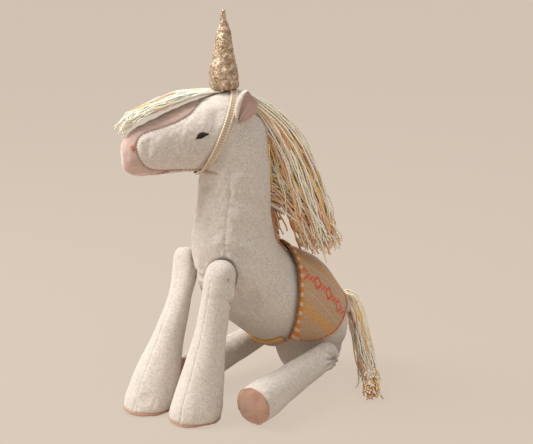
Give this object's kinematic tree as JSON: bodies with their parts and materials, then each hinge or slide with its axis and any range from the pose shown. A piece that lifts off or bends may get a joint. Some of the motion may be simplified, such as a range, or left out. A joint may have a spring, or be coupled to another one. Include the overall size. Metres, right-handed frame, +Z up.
{
  "type": "plush unicorn",
  "caption": "Sitting plush unicorn in natural linen with a gilt horn, yarn mane, forelock and tail, woven saddle cloth, braided halter and swinging legs.",
  "frame": {"origin": "middle of the flat seat under the rump, on the floor", "axes": "+Z up; the chest faces -Y; +X is the animal's left side; the head is turned 22 degrees to its right"},
  "size_m": [0.1875, 0.2846, 0.3926],
  "materials": {
    "linen": "matte",
    "pink_cotton": "matte",
    "fibre_fill": "matte",
    "black_thread": "matte",
    "pink_thread": "matte",
    "braid": "matte",
    "gilt_cloth": "matte",
    "jacquard": "matte",
    "plain_lining": "matte",
    "wool_yarn": "matte",
    "joint_thread": "matte",
    "terracotta_cotton": "matte"
  },
  "bodies": {
    "torso": {"side_left": "linen", "side_right": "linen", "face_gusset": "pink_cotton", "chest_gusset": "linen", "belly_gusset": "linen", "body_stuffing": "fibre_fill", "ear_left": "linen", "ear_right": "linen", "ear_lining_left": "pink_cotton", "ear_lining_right": "pink_cotton", "eye_left": "black_thread", "eye_right": "black_thread", "nostril_left": "pink_thread", "nostril_right": "pink_thread", "mouth_stitches": "pink_thread", "halter_strap": "braid", "girth_strap": "braid", "saddle_lining": "plain_lining", "saddle_cloth": "jacquard", "saddle_binding": "braid", "saddle_piping": "braid", "saddle_tag": "plain_lining", "mane_under": "wool_yarn", "mane_fall": "wool_yarn", "forelock": "wool_yarn", "shoulder_thread": "joint_thread", "hip_thread": "joint_thread"},
    "leg_front_left": {"leg_front_left_cover": "linen", "leg_front_left_stuffing": "fibre_fill", "leg_front_left_sole": "terracotta_cotton"},
    "leg_front_right": {"leg_front_right_cover": "linen", "leg_front_right_stuffing": "fibre_fill", "leg_front_right_sole": "terracotta_cotton"},
    "leg_hind_left": {"leg_hind_left_cover": "linen", "leg_hind_left_stuffing": "fibre_fill", "leg_hind_left_sole": "terracotta_cotton"},
    "leg_hind_right": {"leg_hind_right_cover": "linen", "leg_hind_right_stuffing": "fibre_fill", "leg_hind_right_sole": "terracotta_cotton"},
    "horn": {"horn_cover": "gilt_cloth", "horn_stuffing": "fibre_fill"},
    "tail": {"tail_yarn": "wool_yarn"}
  },
  "joints": [
    {"name": "front_left_swing", "type": "hinge", "parent": "torso", "child": "leg_front_left", "pos_m": [0.031, -0.137, 0.138], "axis": [1, 0, 0], "range_deg": [-80, 3]},
    {"name": "front_right_swing", "type": "hinge", "parent": "torso", "child": "leg_front_right", "pos_m": [-0.031, -0.137, 0.138], "axis": [1, 0, 0], "range_deg": [-80, 3]},
    {"name": "hind_left_swing", "type": "hinge", "parent": "torso", "child": "leg_hind_left", "pos_m": [0.052, -0.019, 0.038], "axis": [1, 0, 0], "range_deg": [-6, 85]},
    {"name": "hind_right_swing", "type": "hinge", "parent": "torso", "child": "leg_hind_right", "pos_m": [-0.052, -0.019, 0.038], "axis": [1, 0, 0], "range_deg": [-6, 85]},
    {"name": "tail_lift", "type": "hinge", "parent": "torso", "child": "tail", "pos_m": [0, 0.038, 0.08], "axis": [-0.4679, -0.8838, 0], "range_deg": [0, 60]},
    {"name": "horn_pull", "type": "slide", "parent": "torso", "child": "horn", "axis": [0, 0, 1], "range_m": [0, 0.03], "stiffness_N_per_m": 60, "deforming": ["halter_strap"]}
  ]
}
